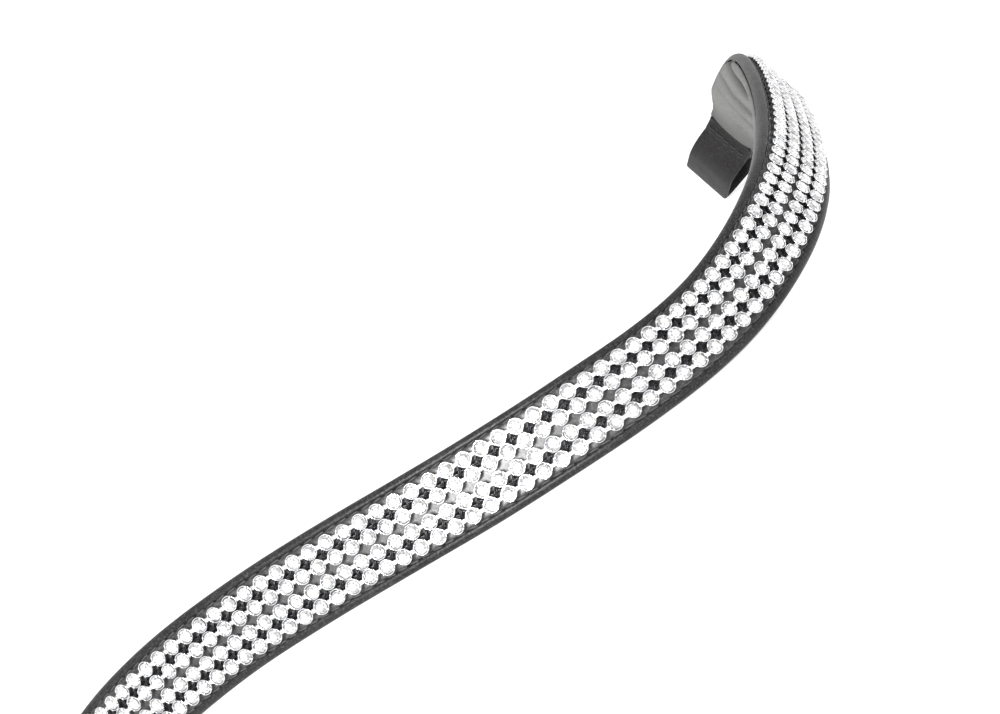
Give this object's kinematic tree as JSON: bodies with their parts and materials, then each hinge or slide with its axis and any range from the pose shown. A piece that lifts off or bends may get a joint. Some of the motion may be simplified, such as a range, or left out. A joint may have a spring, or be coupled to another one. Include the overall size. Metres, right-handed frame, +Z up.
{
  "type": "bridle browband",
  "caption": "Curved, padded leather browband for a snaffle bridle, with rows of crystal cup chain sewn between raised rims and a headpiece loop at each end.",
  "frame": {"origin": "on the ground, under the middle of the browband's box; it stands on its lower edge and on both loops", "axes": "+Z up, across the band towards its upper rim; -Y out of the crystals at the middle, away from the horse's forehead; +X towards the loop on the right when the crystals face the viewer"},
  "size_m": [0.2356, 0.1514, 0.0296],
  "materials": {
    "outer_leather": "smooth black bridle leather, half gloss",
    "lining_leather": "soft grey-black lining leather, satin",
    "crystal_chain": "clear foil-backed crystals in bright plated cups",
    "black_thread": "waxed black polyester thread, matte",
    "filler_cord": "twisted cotton filler cord",
    "stiffener_web": "thin woven nylon tape",
    "foam": "closed-cell foam padding"
  },
  "bodies": {
    "root": {"front_leather": "outer_leather", "lining_leather": "lining_leather", "foam_pad": "foam", "stiffener_web": "stiffener_web", "crystal_chain_1": "crystal_chain", "crystal_chain_2": "crystal_chain", "crystal_chain_3": "crystal_chain", "crystal_chain_4": "crystal_chain", "rim_cord_upper": "filler_cord", "rim_cord_lower": "filler_cord", "chain_thread_upper": "black_thread", "chain_thread_lower": "black_thread", "edge_thread_upper": "black_thread", "edge_thread_lower": "black_thread", "loop_right": "outer_leather", "loop_left": "outer_leather", "loop_thread_right": "black_thread", "loop_thread_left": "black_thread"}
  },
  "joints": []
}
